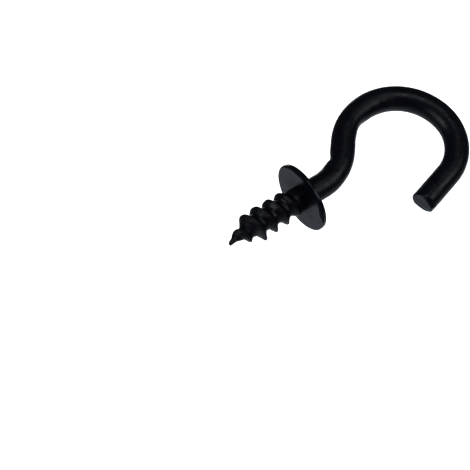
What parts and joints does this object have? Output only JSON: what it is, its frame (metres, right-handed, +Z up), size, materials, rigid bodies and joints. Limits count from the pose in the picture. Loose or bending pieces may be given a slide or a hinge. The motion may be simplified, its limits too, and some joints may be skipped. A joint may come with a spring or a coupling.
{
  "type": "ceiling hook",
  "caption": "Screw-in ceiling hook of bent round wire, black coated, with a wood-screw thread on top and a thin round collar that stops against the ceiling.",
  "frame": {"origin": "centre of the collar's upper face, which meets the ceiling, on the screw's axis", "axes": "+Z up along the screw into the ceiling; the hook hangs below in the X-Z plane and its mouth opens towards -X"},
  "size_m": [0.0226, 0.0116, 0.0446],
  "materials": {
    "black_coat": "satin bluish black coat on bent steel wire",
    "collar_coat": "satin bluish black coat on stamped steel sheet"
  },
  "bodies": {
    "root": {"hook": "black_coat", "collar": "collar_coat"}
  },
  "joints": []
}
